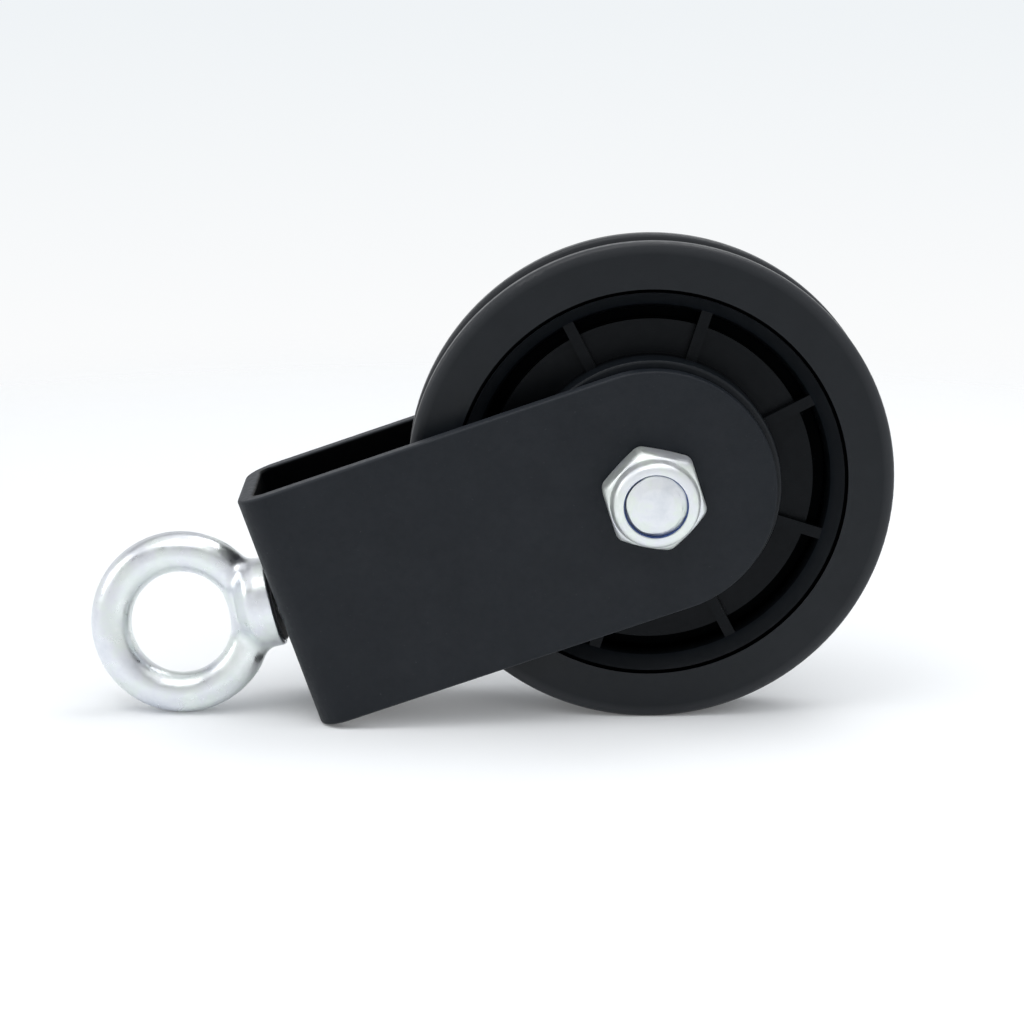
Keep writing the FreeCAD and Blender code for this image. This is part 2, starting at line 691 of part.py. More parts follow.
def make_eye():
    """Forged eye bolt whose shank turns in the web, with its washers and lock nut."""
    body = new_body("eye_bolt")
    bar = new_sketch(body, "XY_Plane", "eye_bar")
    circle(bar, S["ring_radius"], ZERO, S["ring_bar"] / 2)
    revolve(body, bar, "V_Axis", "eye_ring")

    face = S["collar_offset"]
    back = face - S["collar_height"]
    grip = (washer_face + S["nut_washer"].number + S["eye_nut_height"].number
            + S["shank_end"].number + washer_face + S["wear_washer"].number)
    shank_tip = face + grip
    profile = new_sketch(body, "XY_Plane", "eye_collar_section")
    outline(profile, [
        (S["ring_radius"] - S["ring_bar"] / 4, ZERO),
        (shank_tip, ZERO),
        (shank_tip, shank_radius - S["shank_chamfer"]),
        (shank_tip - S["shank_chamfer"], shank_radius),
        (face, shank_radius),
        (face, S["collar_radius"]),
        (back, S["collar_radius"]),
        (S["ring_radius"] - S["ring_bar"] / 4, S["neck_radius"]),
    ])
    stem = revolve(body, profile, "H_Axis", "eye_stem")

    def is_collar_rim(edge):
        curve = edge.Curve
        return (isinstance(curve, Part.Circle) and near(curve.Radius, S["collar_radius"].number)
                and near(curve.Center.x, face.number))

    fillet(body, stem, edges_where(stem, is_collar_rim), S["collar_round"], "eye_collar_rim")
    body.Placement = Placement(ring_middle, ALONG_EYE)

    along = ALONG_EYE.multVec(Vector(1, 0, 0))
    to_wheel = ALONG_EYE.multiply(Y_TO_X)
    inside = shank_radius + S["washer_play"]
    outside = S["washer_outside"] / 2
    collar_face = ring_middle + along * face.number
    make_sleeve("eye_wear_washer", inside, outside, S["wear_washer"], collar_face, to_wheel)
    nut_side = hole_middle + along * washer_face
    make_sleeve("eye_nut_washer", inside, outside, S["nut_washer"], nut_side, to_wheel)
    nut_face = nut_side + along * S["nut_washer"].number
    turn = Rotation(along, S["eye_nut_turn"].number).multiply(to_wheel)
    make_lock_nut(
        "eye_nut", S["eye_nut_across"], S["eye_nut_hexagon"], S["eye_nut_height"], shank_radius,
        S["eye_nut_collar"], S["eye_nut_insert"], S["eye_insert_height"], S["eye_nut_lip"],
        Placement(nut_face, turn))


make_bracket()
make_wheel()
NODES = ["bracket", "wheel"]
NODES += make_bearing("near", -1)
NODES += make_bearing("far", 1)
make_axle()
NODES += ["axle_bolt", "axle_nut", "axle_nut_insert", "near_spacer", "far_spacer", "bearing_spacer"]
make_eye()
NODES += ["eye_bolt", "eye_wear_washer", "eye_nut_washer", "eye_nut", "eye_nut_insert"]
doc.recompute()

failed = [item.Name for item in doc.Objects if "Invalid" in item.State or "Error" in item.State]
if failed:
    raise RuntimeError("these objects failed: " + ", ".join(failed))

for node in NODES:
    piece = next(item for item in doc.Objects if item.Label == node)
    shape = piece.Shape
    if shape.isNull() or not shape.isValid() or not shape.Solids:
        raise RuntimeError(node + " has no valid solid")
    shape.exportStep("parts/%s.step" % node)
    print("%-28s %2d solids %10.1f mm3" % (node, len(shape.Solids), shape.Volume))
print("bracket leans %.2f, eye leans %.2f degrees" % (
    math.degrees(bracket_lean), math.degrees(eye_lean)))
print("axle", axle, "hole", hole_middle, "ring", ring_middle)
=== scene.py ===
import json
import math

import bmesh
import bpy
import numpy as np
from mathutils import Matrix, Vector


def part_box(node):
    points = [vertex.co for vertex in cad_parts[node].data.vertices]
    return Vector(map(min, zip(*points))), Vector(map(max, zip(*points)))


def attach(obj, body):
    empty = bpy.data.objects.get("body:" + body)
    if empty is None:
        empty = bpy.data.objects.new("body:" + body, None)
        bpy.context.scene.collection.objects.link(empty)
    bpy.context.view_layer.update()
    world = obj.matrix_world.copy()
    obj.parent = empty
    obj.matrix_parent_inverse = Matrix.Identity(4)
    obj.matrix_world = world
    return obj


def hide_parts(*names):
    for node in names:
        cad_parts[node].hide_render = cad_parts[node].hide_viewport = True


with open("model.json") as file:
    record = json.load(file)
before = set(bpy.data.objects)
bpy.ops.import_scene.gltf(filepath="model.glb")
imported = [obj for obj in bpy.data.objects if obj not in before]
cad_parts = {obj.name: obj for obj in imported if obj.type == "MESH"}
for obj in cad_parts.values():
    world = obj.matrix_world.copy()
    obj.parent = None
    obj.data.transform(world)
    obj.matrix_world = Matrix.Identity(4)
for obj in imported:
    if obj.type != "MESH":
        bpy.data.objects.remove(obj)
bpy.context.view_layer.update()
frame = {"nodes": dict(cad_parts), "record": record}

MM = 0.001
# Places of the two colours among the inputs of a Mix node
MIX_FIRST, MIX_SECOND = 6, 7
NODES = frame["nodes"]
RECORD = frame["record"]
JOINTS = {joint["name"]: joint for joint in RECORD["behaviour"]["joints"]}
AXLE = Vector(JOINTS["wheel_spin"]["pos_m"])
RING = Vector(next(m["pos_m"] for m in RECORD["mounts"] if m["name"] == "eye_ring"))
RING_AXIS = Vector(next(m["axis"] for m in RECORD["mounts"] if m["name"] == "eye_ring"))
ALONG_EYE = Vector(JOINTS["eye_swivel"]["axis"]).normalized()
ALONG_STRAP = (Vector(JOINTS["eye_swivel"]["pos_m"]) - AXLE).normalized()
WHEEL_AXIS = Vector((0, 1, 0))
ACROSS_STRAP = ALONG_STRAP.cross(WHEEL_AXIS)

# Camera and surroundings

CAMERA_PLACE = AXLE + Vector((-0.031436, -0.515259, 0.124542))
CAMERA_YAW = math.radians(0.4988)
CAMERA_PITCH = math.radians(14.338)
CAMERA_LENS = 94.67
SENSOR = 36.0

# Even light that falls on matt surfaces from all sides
AMBIENT_STRENGTH = 0.26
AMBIENT_COLOUR = (0.86, 0.93, 1.0, 1)
# What metal reflects, from straight down (0) over the horizon (0.5) to straight up (1)
STUDIO_BANDS = ((0.49, 0.92), (0.60, 0.92), (0.76, 0.72), (0.81, 0.32), (0.855, 0.32), (0.90, 1.0))
STUDIO_TINT = (0.97, 0.985, 1.0)
STUDIO_BELOW, STUDIO_ABOVE = (0.86, 0.87, 0.88, 1), (1, 1, 1, 1)
# What the camera sees behind the floor, between two rises of its line of sight
BACKDROP_LOW, BACKDROP_HIGH = -0.18, -0.065
BACKDROP_COLOURS = ((0.960, 0.968, 0.975, 1), (0.870, 0.902, 0.925, 1))

# The floor fades out between these distances from the middle
FLOOR_FADE_FROM, FLOOR_REACH = 0.24, 0.42
FLOOR_COLOUR = (0.928, 0.943, 0.958, 1)
# The share of the floor's look that is plain white where it is seen directly, and how bright that is
FLOOR_GLOW_SHARE, FLOOR_GLOW = 0.12, 0.97

# Lamps: name, place, what it points at, edge length, watts, and whether metal shows it
LAMPS = (
    ("ceiling_softbox", (0.18, -0.42, 0.95), (0.05, -0.05, 0.0), 1.8, 11.5, False),
    ("key_softbox", (-0.24, -0.34, 0.90), (0.0, 0.0, 0.04), 0.45, 1.5, True),
    ("right_softbox", (0.62, 0.05, 0.85), (0.0, 0.0, 0.04), 0.6, 1.5, False),
    ("side_softbox", (-1.0, -0.10, 0.55), (-0.05, 0.0, 0.04), 0.5, 2.2, True),
    ("back_softbox", (0.26, 0.30, 0.92), (0.0, 0.0, 0.06), 0.5, 2.0, True),
)


def make_camera():
    data = bpy.data.cameras.new("camera")
    data.lens = CAMERA_LENS
    data.sensor_width = SENSOR
    data.clip_start = 0.01
    data.clip_end = 50
    camera = bpy.data.objects.new("camera", data)
    camera.location = CAMERA_PLACE
    camera.rotation_euler = (math.pi / 2 - CAMERA_PITCH, 0, -CAMERA_YAW)
    bpy.context.scene.collection.objects.link(camera)
    bpy.context.scene.camera = camera


def make_area_light(name, place, target, size, watts, reflected):
    data = bpy.data.lights.new(name, "AREA")
    data.shape = "SQUARE"
    data.size = size
    data.energy = watts
    lamp = bpy.data.objects.new(name, data)
    lamp.location = place
    lamp.visible_glossy = reflected
    lamp.rotation_euler = (Vector(target) - Vector(place)).to_track_quat("-Z", "Y").to_euler()
    bpy.context.scene.collection.objects.link(lamp)


def seen_directly(nodes, links):
    """1 for rays that show the background: from the camera, in a reflection or through glass."""
    path = nodes.new("ShaderNodeLightPath")
    first = nodes.new("ShaderNodeMath")
    first.operation = "MAXIMUM"
    links.new(path.outputs["Is Camera Ray"], first.inputs[0])
    links.new(path.outputs["Is Glossy Ray"], first.inputs[1])
    second = nodes.new("ShaderNodeMath")
    second.operation = "MAXIMUM"
    links.new(first.outputs[0], second.inputs[0])
    links.new(path.outputs["Is Transmission Ray"], second.inputs[1])
    return second.outputs[0]


def make_world():
    """Even light for matt surfaces, a pale backdrop for the camera, and a studio to reflect."""
    world = bpy.data.worlds.new("studio")
    bpy.context.scene.world = world
    world.use_nodes = True
    nodes = world.node_tree.nodes
    links = world.node_tree.links
    nodes.clear()
    soft = nodes.new("ShaderNodeBackground")
    soft.inputs["Color"].default_value = AMBIENT_COLOUR
    soft.inputs["Strength"].default_value = AMBIENT_STRENGTH
    direction = nodes.new("ShaderNodeTexCoord")
    split = nodes.new("ShaderNodeSeparateXYZ")
    links.new(direction.outputs["Generated"], split.inputs[0])
    rise = nodes.new("ShaderNodeMapRange")
    rise.inputs["From Min"].default_value = BACKDROP_LOW
    rise.inputs["From Max"].default_value = BACKDROP_HIGH
    links.new(split.outputs["Z"], rise.inputs["Value"])
    fade = nodes.new("ShaderNodeMix")
    fade.data_type = "RGBA"
    fade.inputs[MIX_FIRST].default_value, fade.inputs[MIX_SECOND].default_value = BACKDROP_COLOURS
    links.new(rise.outputs[0], fade.inputs["Factor"])
    white = nodes.new("ShaderNodeBackground")
    links.new(fade.outputs[2], white.inputs["Color"])
    height = nodes.new("ShaderNodeMapRange")
    height.inputs["From Min"].default_value = -1.0
    height.inputs["From Max"].default_value = 1.0
    links.new(split.outputs["Z"], height.inputs["Value"])
    ramp = nodes.new("ShaderNodeValToRGB")
    elements = ramp.color_ramp.elements
    elements[0].position = 0.0
    elements[0].color = STUDIO_BELOW
    elements[1].position = 1.0
    elements[1].color = STUDIO_ABOVE
    for place, grey in STUDIO_BANDS:
        element = elements.new(place)
        element.color = (*(grey * tint for tint in STUDIO_TINT), 1)
    links.new(height.outputs[0], ramp.inputs["Fac"])
    room = nodes.new("ShaderNodeBackground")
    links.new(ramp.outputs["Color"], room.inputs["Color"])
    path = nodes.new("ShaderNodeLightPath")
    lit = nodes.new("ShaderNodeMixShader")
    links.new(path.outputs["Is Camera Ray"], lit.inputs[0])
    links.new(room.outputs[0], lit.inputs[1])
    links.new(white.outputs[0], lit.inputs[2])
    mix = nodes.new("ShaderNodeMixShader")
    out = nodes.new("ShaderNodeOutputWorld")
    links.new(seen_directly(nodes, links), mix.inputs[0])
    links.new(soft.outputs[0], mix.inputs[1])
    links.new(lit.outputs[0], mix.inputs[2])
    links.new(mix.outputs[0], out.inputs["Surface"])


def make_floor():
    """Pale floor that takes shadows and fades into the backdrop before it ends."""
    mesh = bpy.data.meshes.new("floor")
    reach = FLOOR_REACH
    mesh.from_pydata([(-reach, -reach, 0), (reach, -reach, 0), (reach, reach, 0), (-reach, reach, 0)],
                     [], [(0, 1, 2, 3)])
    floor = bpy.data.objects.new("floor", mesh)
    bpy.context.scene.collection.objects.link(floor)
    material = bpy.data.materials.new("pale_floor")
    material.use_nodes = True
    nodes = material.node_tree.nodes
    links = material.node_tree.links
    nodes.clear()
    matte = nodes.new("ShaderNodeBsdfDiffuse")
    matte.inputs["Color"].default_value = FLOOR_COLOUR
    glow = nodes.new("ShaderNodeEmission")
    glow.inputs["Color"].default_value = (1, 1, 1, 1)
    glow.inputs["Strength"].default_value = FLOOR_GLOW
    part = nodes.new("ShaderNodeMath")
    part.operation = "MULTIPLY"
    part.inputs[1].default_value = FLOOR_GLOW_SHARE
    links.new(seen_directly(nodes, links), part.inputs[0])
    mix = nodes.new("ShaderNodeMixShader")
    out = nodes.new("ShaderNodeOutputMaterial")
    links.new(part.outputs[0], mix.inputs[0])
    links.new(matte.outputs[0], mix.inputs[1])
    links.new(glow.outputs[0], mix.inputs[2])
    place = nodes.new("ShaderNodeTexCoord")
    away = nodes.new("ShaderNodeVectorMath")
    away.operation = "LENGTH"
    links.new(place.outputs["Object"], away.inputs[0])
    edge = nodes.new("ShaderNodeMapRange")
    edge.interpolation_type = "SMOOTHSTEP"
    edge.inputs["From Min"].default_value = FLOOR_FADE_FROM
    edge.inputs["From Max"].default_value = reach
    links.new(away.outputs["Value"], edge.inputs["Value"])
    clear = nodes.new("ShaderNodeBsdfTransparent")
    faded = nodes.new("ShaderNodeMixShader")
    links.new(edge.outputs[0], faded.inputs[0])
    links.new(mix.outputs[0], faded.inputs[1])
    links.new(clear.outputs[0], faded.inputs[2])
    links.new(faded.outputs[0], out.inputs["Surface"])
    mesh.materials.append(material)


make_camera()
make_world()
make_floor()
for lamp_values in LAMPS:
    make_area_light(*lamp_values)
bpy.context.scene.view_settings.view_transform = "Standard"


# Materials

# Near black for painted shade
SHADE_BLACK = (0.0006, 0.0007, 0.0008)


class Paint:
    """A material under construction: its shader, its nodes and small helpers to wire them."""

    def __init__(self, name, colour, roughness, metallic=0.0, specular=0.5):
        self.material = bpy.data.materials.new(name)
        self.material.use_nodes = True
        self.material.diffuse_color = (*colour, 1)
        self.nodes = self.material.node_tree.nodes
        self.links = self.material.node_tree.links
        self.shader = self.nodes["Principled BSDF"]
        self.shader.inputs["Base Color"].default_value = (*colour, 1)
        self.shader.inputs["Roughness"].default_value = roughness
        self.shader.inputs["Metallic"].default_value = metallic
        self.shader.inputs["Specular IOR Level"].default_value = specular
        self.place = self.nodes.new("ShaderNodeTexCoord").outputs["Object"]
        self.height = None

    def noise(self, scale, detail, rough):
        """Uneven pattern with a number of patches a metre."""
        node = self.nodes.new("ShaderNodeTexNoise")
        node.inputs["Scale"].default_value = scale
        node.inputs["Detail"].default_value = detail
        node.inputs["Roughness"].default_value = rough
        self.links.new(self.place, node.inputs["Vector"])
        return node.outputs["Fac"]

    def vector_step(self, operation, source, other=None):
        node = self.nodes.new("ShaderNodeVectorMath")
        node.operation = operation
        self.links.new(source, node.inputs[0])
        if other is not None:
            node.inputs[1].default_value = other
        return node.outputs

    def distance_from_axis(self, centre, axis):
        """Distance of a point from a line, for marks that run round that line."""
        shift = self.vector_step("SUBTRACT", self.place, centre)
        cross = self.vector_step("CROSS_PRODUCT", shift[0], axis)
        return self.vector_step("LENGTH", cross[0])["Value"]

    def distance_along(self, centre, axis):
        """How far a point lies from a plane, on the side that the axis points to."""
        shift = self.vector_step("SUBTRACT", self.place, centre)
        return self.vector_step("DOT_PRODUCT", shift[0], axis)["Value"]

    def calculate(self, operation, first, second=None):
        node = self.nodes.new("ShaderNodeMath")
        node.operation = operation
        self.links.new(first, node.inputs[0])
        if second is not None:
            self.links.new(second, node.inputs[1])
        return node.outputs[0]

    def rings(self, centre, axis, scale):
        """Fine uneven rings about a line, as a turning tool leaves them."""
        node = self.nodes.new("ShaderNodeTexNoise")
        node.noise_dimensions = "1D"
        node.inputs["Scale"].default_value = scale
        node.inputs["Detail"].default_value = 2.0
        self.links.new(self.distance_from_axis(centre, axis), node.inputs["W"])
        return node.outputs["Fac"]

    def spread(self, source, low, high, start=0.3, stop=0.7):
        """Map a value between start and stop to a number between low and high."""
        node = self.nodes.new("ShaderNodeMapRange")
        node.inputs["From Min"].default_value = start
        node.inputs["From Max"].default_value = stop
        node.inputs["To Min"].default_value = low
        node.inputs["To Max"].default_value = high
        self.links.new(source, node.inputs["Value"])
        return node.outputs[0]

    def colours(self, source, stops):
        """Colour that runs through the given stops (place, colour) along a noise value."""
        ramp = self.nodes.new("ShaderNodeValToRGB")
        elements = ramp.color_ramp.elements
        elements[0].position, elements[0].color = stops[0][0], (*stops[0][1], 1)
        elements[1].position, elements[1].color = stops[-1][0], (*stops[-1][1], 1)
        for position, colour in stops[1:-1]:
            element = elements.new(position)
            element.color = (*colour, 1)
        self.links.new(source, ramp.inputs["Fac"])
        self.links.new(ramp.outputs["Color"], self.shader.inputs["Base Color"])

    def between(self, source, low, high, soft):
        """1 where a distance in metres lies between two values, and 0 elsewhere."""
        rise = self.spread(source, 0, 1, low - soft, low)
        fall = self.spread(source, 1, 0, high, high + soft)
        return self.calculate("MULTIPLY", rise, fall)

    def tinted(self, share, colour):
        """Lay a colour over the present base colour where a share says so."""
        mix = self.nodes.new("ShaderNodeMix")
        mix.data_type = "RGBA"
        base = self.shader.inputs["Base Color"]
        before = base.links[0].from_socket
        self.links.new(share, mix.inputs["Factor"])
        self.links.new(before, mix.inputs[MIX_FIRST])
        mix.inputs[MIX_SECOND].default_value = (*colour, 1)
        self.links.new(mix.outputs[2], base)

    def painted_shade(self, share):
        """Painted shade: where a share says so, the surface is made near black and throws back next to
        nothing.
        """
        self.tinted(share, SHADE_BLACK)
        metallic = self.shader.inputs["Metallic"]
        if metallic.is_linked:
            share = self.calculate("MAXIMUM", metallic.links[0].from_socket, share)
        self.links.new(share, metallic)

    def roughness(self, source, low, high):
        self.links.new(self.spread(source, low, high), self.shader.inputs["Roughness"])

    def bump(self, source, depth, strength):
        """Add relief of a depth in metres on top of what is there already."""
        node = self.nodes.new("ShaderNodeBump")
        node.inputs["Strength"].default_value = strength
        node.inputs["Distance"].default_value = depth
        self.links.new(source, node.inputs["Height"])
        if self.height is not None:
            self.links.new(self.height, node.inputs["Normal"])
        self.height = node.outputs[0]
        self.links.new(self.height, self.shader.inputs["Normal"])


# Strap: how strong the painted shade on the inner faces of its plates and web is, where those faces end, from
# the wheel's middle and from the axle, and the outermost part of its width, which gets a painted highlight,
# from its centre line
STRAP_SHADE = 0.90
STRAP_INSIDE = 11.30 * MM
WEB_INSIDE = 73.5 * MM
STRAP_SOFT = 0.25 * MM
EDGE_HIGHLIGHT = (23.45 * MM, 23.95 * MM)
# Wheel: ranges of radius from the axle: painted shade in the trough, painted light on the sloped wall,
# painted shade on the slit line, a painted highlight on the rim, and where the painted shade over the recess
# ends
TROUGH = (32.05 * MM, 37.0 * MM)
SLOPED_WALL = (36.2 * MM, 37.8 * MM)
SLIT_SHADE_LINE = (37.78 * MM, 38.47 * MM)
RIM_HIGHLIGHT = (45.1 * MM, 47.3 * MM)
RIBS_END = 35.2 * MM
# Wheel: distances from its middle plane: where the painted shade in the trough starts to fade and where it is
# gone, where the painted shade over the recess ends, and the flange's face; then the strength of that recess
# shade
TROUGH_SHADE_FULL, TROUGH_SHADE_GONE = 2.6 * MM, 4.2 * MM
RIBS_HEIGHT = 4.5 * MM
FLANGE_FACE = 6.95 * MM
RECESS_SHADE = 0.58
# Wheel: how soft the borders of those zones are
WALL_SOFT, RIBS_SOFT, TROUGH_SOFT = 0.8 * MM, 0.3 * MM, 0.1 * MM
LINE_SOFT, FACE_SOFT = 0.03 * MM, 0.05 * MM
# A range that takes in everything on its low side
NO_LIMIT = -1

# Colours that a surface wanders through: place along the noise, and colour
COAT_SHADES = ((0.30, (0.0054, 0.0075, 0.0108)), (0.52, (0.0069, 0.0092, 0.0128)),
               (0.75, (0.0092, 0.0115, 0.0154)))
NYLON_SHADES = ((0.30, (0.0050, 0.0068, 0.0092)), (0.55, (0.0063, 0.0082, 0.0108)),
                (0.78, (0.0080, 0.0100, 0.0128)))
FORGING_SHADES = ((0.28, (0.66, 0.69, 0.74)), (0.45, (0.77, 0.79, 0.83)),
                  (0.58, (0.77, 0.82, 0.80)), (0.76, (0.88, 0.89, 0.91)))
MACHINED_SHADES = ((0.28, (0.70, 0.73, 0.77)), (0.46, (0.79, 0.81, 0.84)),
                   (0.60, (0.78, 0.83, 0.79)), (0.80, (0.88, 0.89, 0.90)))
# Colours of the painted highlights on the strap's edges and the wheel's rim, of the painted light on the
# sloped wall, and of the specks with their strength and their place on the noise
COAT_HIGHLIGHT_COLOUR = (0.019, 0.022, 0.027)
RIM_HIGHLIGHT_COLOUR = (0.036, 0.038, 0.042)
WALL_LIGHT_COLOUR = (0.009, 0.0105, 0.0125)
COAT_SPECKS, COAT_SPECK_COLOUR = (0, 0.55, 0.68, 0.80), (0.040, 0.044, 0.050)
NYLON_SPECKS, NYLON_SPECK_COLOUR = (0, 0.35, 0.70, 0.82), (0.034, 0.037, 0.042)
# Zinc on machined parts is duller than bare metal
MACHINED_METALLIC = 0.76


def powder_coat():
    paint = Paint("black_powder_coat", (0.0078, 0.0100, 0.0136), 0.52, specular=0.24)
    paint.colours(paint.noise(120, 5, 0.6), COAT_SHADES)
    paint.tinted(paint.spread(paint.noise(1250, 2, 0.7), *COAT_SPECKS), COAT_SPECK_COLOUR)
    # Painted highlight along the outermost part of the strap's width
    sideways = paint.calculate("ABSOLUTE", paint.distance_along(AXLE, ACROSS_STRAP))
    paint.tinted(paint.spread(sideways, 0, 1, *EDGE_HIGHLIGHT), COAT_HIGHLIGHT_COLOUR)
    # Painted shade on the inner faces of the strap's plates and web
    across = paint.calculate("ABSOLUTE", paint.distance_along(AXLE, WHEEL_AXIS))
    along = paint.distance_along(AXLE, ALONG_STRAP)
    inside = paint.calculate("MULTIPLY", paint.between(across, NO_LIMIT, STRAP_INSIDE, STRAP_SOFT),
                             paint.between(along, NO_LIMIT, WEB_INSIDE, STRAP_SOFT))
    paint.painted_shade(paint.spread(inside, 0, STRAP_SHADE, 0, 1))
    paint.roughness(paint.noise(900, 4, 0.6), 0.44, 0.58)
    paint.bump(paint.noise(1500, 3, 0.55), 0.06 * MM, 0.5)
    paint.bump(paint.noise(4200, 2, 0.5), 0.02 * MM, 0.5)
    return paint.material


def wheel_nylon():
    paint = Paint("black_nylon", (0.0072, 0.0086, 0.0106), 0.44, specular=0.24)
    paint.colours(paint.noise(140, 5, 0.55), NYLON_SHADES)
    radius = paint.distance_from_axis(AXLE, WHEEL_AXIS)
    depth = paint.calculate("ABSOLUTE", paint.distance_along(AXLE, WHEEL_AXIS))
    # Painted highlight on the wheel's rim
    paint.tinted(paint.spread(radius, 0, 1, *RIM_HIGHLIGHT), RIM_HIGHLIGHT_COLOUR)
    # Painted light on the sloped wall inside the flange
    paint.tinted(paint.between(radius, *SLOPED_WALL, WALL_SOFT), WALL_LIGHT_COLOUR)
    # Painted shade over the recess inside the ribs' ends
    disc = paint.calculate("MULTIPLY", paint.between(radius, NO_LIMIT, RIBS_END, TROUGH_SOFT),
                           paint.between(depth, NO_LIMIT, RIBS_HEIGHT, RIBS_SOFT))
    paint.painted_shade(paint.spread(disc, 0, RECESS_SHADE, 0, 1))
    # Painted shade in the trough, full near the middle plane and gone further out
    deep = paint.spread(depth, 1, 0, TROUGH_SHADE_FULL, TROUGH_SHADE_GONE)
    paint.painted_shade(paint.calculate("MULTIPLY", paint.between(radius, *TROUGH, TROUGH_SOFT), deep))
    # Painted shade on the thin line of the slit at the inner edge of the flange face
    paint.painted_shade(paint.calculate("MULTIPLY", paint.between(radius, *SLIT_SHADE_LINE, LINE_SOFT),
                                    paint.between(depth, NO_LIMIT, FLANGE_FACE, FACE_SOFT)))
    paint.tinted(paint.spread(paint.noise(1100, 2, 0.7), *NYLON_SPECKS), NYLON_SPECK_COLOUR)
    paint.roughness(paint.noise(600, 4, 0.6), 0.30, 0.44)
    paint.bump(paint.rings(AXLE, WHEEL_AXIS, 5200), 0.016 * MM, 0.6)
    paint.bump(paint.noise(1900, 3, 0.5), 0.025 * MM, 0.5)
    return paint.material


def forged_zinc():
    paint = Paint("zinc_plated_forging", (0.72, 0.74, 0.76), 0.22, metallic=1.0)
    paint.colours(paint.noise(120, 5, 0.62), FORGING_SHADES)
    paint.roughness(paint.noise(420, 4, 0.6), 0.24, 0.42)
    paint.bump(paint.noise(170, 3, 0.5), 0.30 * MM, 0.55)
    paint.bump(paint.noise(700, 3, 0.6), 0.06 * MM, 0.25)
    return paint.material


def machined_zinc(name, centre, axis):
    paint = Paint(name, (0.72, 0.74, 0.75), 0.30, metallic=MACHINED_METALLIC)
    paint.colours(paint.noise(190, 4, 0.6), MACHINED_SHADES)
    paint.roughness(paint.noise(700, 4, 0.6), 0.32, 0.50)
    paint.bump(paint.rings(centre, axis, 3600), 0.012 * MM, 0.5)
    paint.bump(paint.noise(420, 3, 0.5), 0.10 * MM, 0.4)
    return paint.material


def turned_steel():
    paint = Paint("bright_steel", (0.60, 0.60, 0.61), 0.30, metallic=1.0)
    paint.colours(paint.noise(300, 4, 0.6), [(0.3, (0.52, 0.52, 0.53)), (0.7, (0.66, 0.66, 0.67))])
    paint.roughness(paint.noise(900, 3, 0.6), 0.24, 0.38)
    paint.bump(paint.rings(AXLE, WHEEL_AXIS, 6000), 0.01 * MM, 0.5)
    return paint.material


def bearing_steel():
    paint = Paint("bearing_steel", (0.66, 0.66, 0.67), 0.12, metallic=1.0)
    paint.colours(paint.noise(350, 3, 0.5), [(0.3, (0.62, 0.62, 0.63)), (0.7, (0.70, 0.70, 0.71))])
    paint.roughness(paint.noise(1200, 3, 0.6), 0.08, 0.18)
    return paint.material


def moulded(name, colour, rough, shades, mottle, grain, grain_depth, specular=0.5):
    """Plastic or rubber whose colour wanders between two shades, with a fine grain."""
    paint = Paint(name, colour, rough, specular=specular)
    paint.colours(paint.noise(mottle, 4, 0.6), [(0.3, shades[0]), (0.7, shades[1])])
    paint.bump(paint.noise(grain, 3, 0.6), grain_depth, 0.5)
    return paint.material


FINISH = {
    "black_powder_coat": powder_coat(),
    "black_nylon": wheel_nylon(),
    "bright_steel": turned_steel(),
    "bearing_steel": bearing_steel(),
    "cage_nylon": moulded(
        "cage_nylon", (0.50, 0.45, 0.33), 0.45, ((0.46, 0.41, 0.29), (0.54, 0.49, 0.37)),
        300, 2400, 0.02 * MM),
    "seal_rubber": moulded(
        "seal_rubber", (0.014, 0.014, 0.015), 0.6, ((0.011, 0.011, 0.012), (0.018, 0.018, 0.019)),
        500, 2600, 0.03 * MM, specular=0.3),
    "nylon_insert": moulded(
        "nylon_insert", (0.030, 0.075, 0.26), 0.38, ((0.024, 0.062, 0.22), (0.038, 0.090, 0.30)),
        500, 2200, 0.02 * MM),
    "black_nylon_washer": moulded(
        "black_nylon_washer", (0.012, 0.012, 0.014), 0.5, ((0.010, 0.010, 0.012), (0.016, 0.016, 0.019)),
        500, 2400, 0.02 * MM, specular=0.3),
    "forging": forged_zinc(),
    "axle_zinc": machined_zinc("zinc_plated_steel", AXLE, WHEEL_AXIS),
    "eye_zinc": machined_zinc("zinc_plated_steel_eye", RING, ALONG_EYE),
}
OWN_FINISH = {
    "axle_bolt": "axle_zinc", "axle_nut": "axle_zinc", "eye_bolt": "forging",
    "eye_nut": "eye_zinc", "eye_nut_washer": "eye_zinc",
}
for part in RECORD["subparts"]:
    finish = FINISH[OWN_FINISH.get(part["node"], part["material_slot"])]
    mesh = NODES[part["node"]].data
    mesh.materials.clear()
    mesh.materials.append(finish)


# Mesh helpers; sizes from here on are in mm, and placements bring them to metres

FULL_TURN = 2 * math.pi


def loft(loops, start_cap=False, end_cap=False, wrap=False):
    """Skin over loops of points that all have the same count."""
    count = len(loops[0])
    points = [tuple(point) for loop in loops for point in loop]
    faces = []
    rows = len(loops) if wrap else len(loops) - 1
    for row in range(rows):
        low = row * count
        high = ((row + 1) % len(loops)) * count
        for item in range(count):
            beside = (item + 1) % count
            faces.append((low + item, low + beside, high + beside, high + item))
    for wanted, row in ((start_cap, 0), (end_cap, len(loops) - 1)):
        if wanted:
            ring = np.array(loops[row])
            points.append(tuple(ring.mean(0)))
            for item in range(count):
                faces.append((row * count + item, row * count + (item + 1) % count, len(points) - 1))
    return points, faces


def joined(*parts):
    points = []
    faces = []
    for part_points, part_faces in parts:
        base = len(points)
        points += list(part_points)
        faces += [tuple(base + index for index in face) for face in part_faces]
    return points, faces


